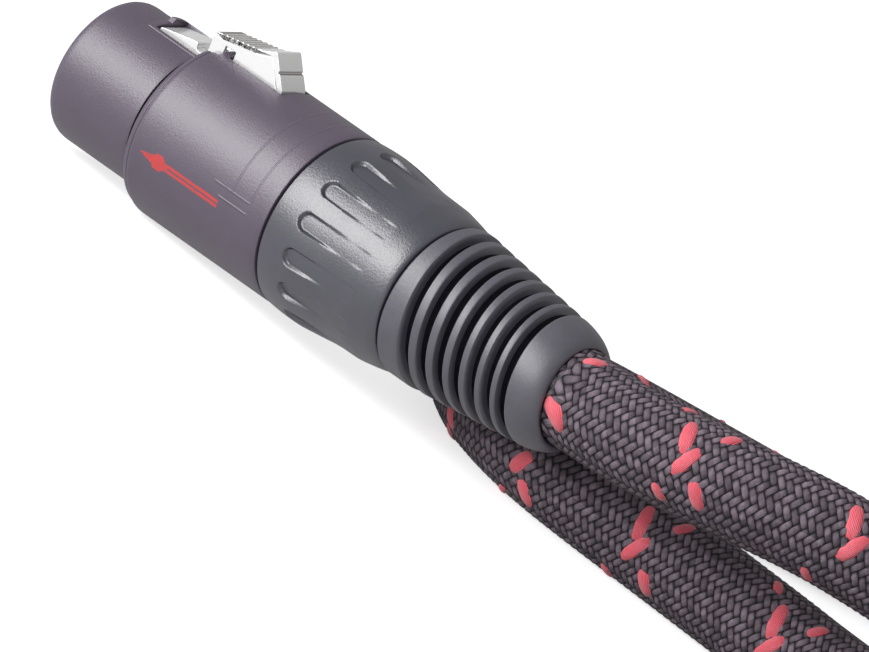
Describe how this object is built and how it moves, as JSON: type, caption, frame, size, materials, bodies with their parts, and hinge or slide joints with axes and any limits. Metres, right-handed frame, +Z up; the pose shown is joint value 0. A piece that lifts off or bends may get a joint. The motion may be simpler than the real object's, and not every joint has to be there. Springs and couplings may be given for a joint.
{
  "type": "xlr cable coil",
  "caption": "Audio cable with a keyed metal plug and socket, spring latch, clamping collets, pocketed bushings and ribbed boots, on one braided cord lying in a flat coil.",
  "frame": {"origin": "bottom centre of the female connector's box, on the table under it", "axes": "+X along the female connector from its nose to its boot, +Z up"},
  "size_m": [0.2069, 0.1764, 0.0235],
  "materials": {
    "shell": "matte",
    "insert": "matte",
    "contact": "silvered, satin",
    "nickel": "bright nickel",
    "bushing": "satin",
    "boot": "satin",
    "braid": "woven",
    "wire_white": "satin",
    "wire_red": "satin",
    "wire_blue": "satin"
  },
  "bodies": {
    "cable": {"f_shell": "shell", "f_insert": "insert", "f_contact_1": "contact", "f_contact_2": "contact", "f_contact_3": "contact", "f_latch_pin": "nickel", "f_latch_spring": "nickel", "f_chuck": "insert", "f_bushing": "bushing", "f_boot": "boot", "f_cable_end": "braid", "f_wire_1": "wire_white", "f_wire_2": "wire_red", "f_wire_3": "wire_blue", "m_shell": "shell", "m_insert": "insert", "m_pin_1": "contact", "m_pin_2": "contact", "m_pin_3": "contact", "m_chuck": "insert", "m_bushing": "bushing", "m_boot": "boot", "m_cable_end": "braid", "m_wire_1": "wire_white", "m_wire_2": "wire_red", "m_wire_3": "wire_blue", "cable_lead": "braid", "cable_coil": "braid", "cable_return": "braid"},
    "latch": {"f_latch": "nickel"}
  },
  "joints": [
    {"name": "latch_press", "type": "hinge", "parent": "cable", "child": "latch", "pos_m": [-0.01318, -0.00153, 0.01823], "axis": [0.016, -0.9816, -0.1901], "range_deg": [0, 4], "stiffness_Nm_per_rad": 0.1, "deforming": ["f_latch_spring"]}
  ]
}
